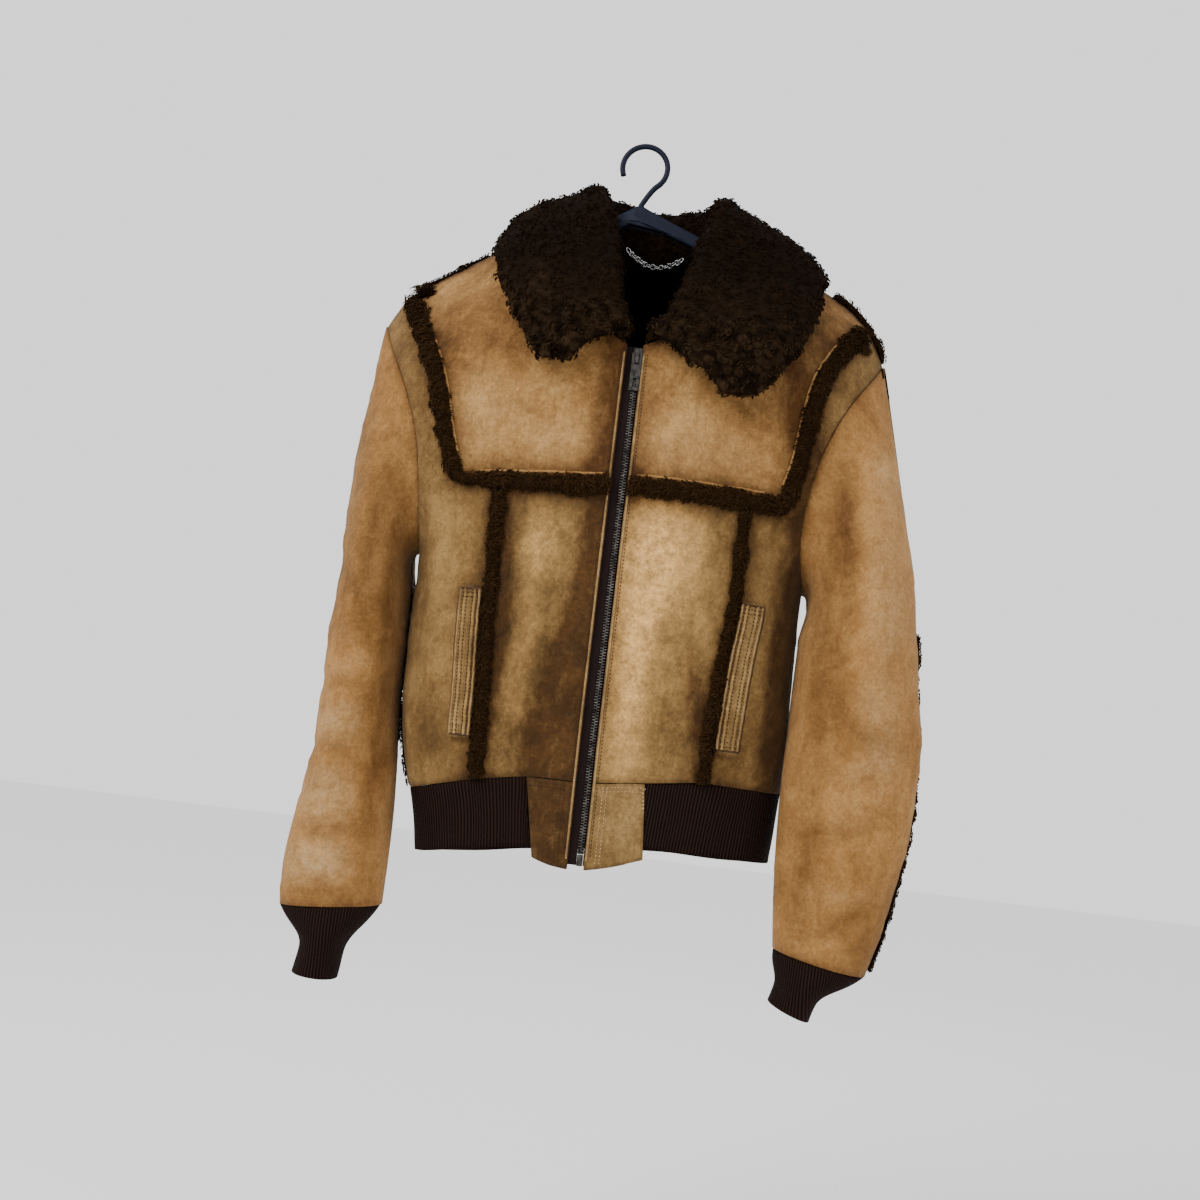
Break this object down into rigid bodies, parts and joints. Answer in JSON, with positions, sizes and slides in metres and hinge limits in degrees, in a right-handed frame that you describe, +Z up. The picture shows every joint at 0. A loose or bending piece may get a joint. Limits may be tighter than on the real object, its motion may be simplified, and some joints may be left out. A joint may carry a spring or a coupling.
{
  "type": "shearling leather jacket on a hanger",
  "caption": "Shearling leather jacket with a curly wool collar, rib-knit cuffs and waistband and a closed front zip, hanging on a plastic hanger.",
  "frame": {"origin": "inside top of the hanger's hook, where a rod carries it", "axes": "+Z up, +X towards the wearer's left, the jacket's front faces -Y"},
  "size_m": [0.6257, 0.2524, 0.9008],
  "materials": {
    "suede": "matt suede",
    "wool": "curly wool pile",
    "rib_knit": "rib knit",
    "zip_tape": "woven",
    "gunmetal": "dark satin",
    "chain_steel": "bright",
    "hanger_plastic": "satin"
  },
  "bodies": {
    "jacket": {"front_yoke_right": "suede", "front_yoke_left": "suede", "side_front_right": "suede", "side_front_left": "suede", "centre_front_right": "suede", "centre_front_left": "suede", "waist_tab_right": "suede", "waist_tab_left": "suede", "sleeve_front_right": "suede", "sleeve_front_left": "suede", "sleeve_back_right": "suede", "sleeve_back_left": "suede", "pocket_welt_right": "suede", "pocket_welt_left": "suede", "back": "suede", "yoke_fur_right": "wool", "yoke_fur_left": "wool", "princess_fur_right": "wool", "princess_fur_left": "wool", "side_fur_right": "wool", "side_fur_left": "wool", "shoulder_fur_right": "wool", "shoulder_fur_left": "wool", "sleeve_fur_right": "wool", "sleeve_fur_left": "wool", "collar": "wool", "rib_cuff_right": "rib_knit", "rib_cuff_left": "rib_knit", "rib_waistband": "rib_knit", "zip_tape_right": "zip_tape", "zip_tape_left": "zip_tape", "zip_teeth": "gunmetal", "zip_slider": "gunmetal", "zip_box": "gunmetal", "neck_chain": "chain_steel", "hanger": "hanger_plastic"},
    "zip_pull": {"pull_tab": "gunmetal"}
  },
  "joints": [
    {"name": "zip_pull_swing", "type": "hinge", "parent": "jacket", "child": "zip_pull", "pos_m": [0.0214, -0.09982, -0.2465], "axis": [-1, 0, 0], "range_deg": [0, 150]}
  ]
}
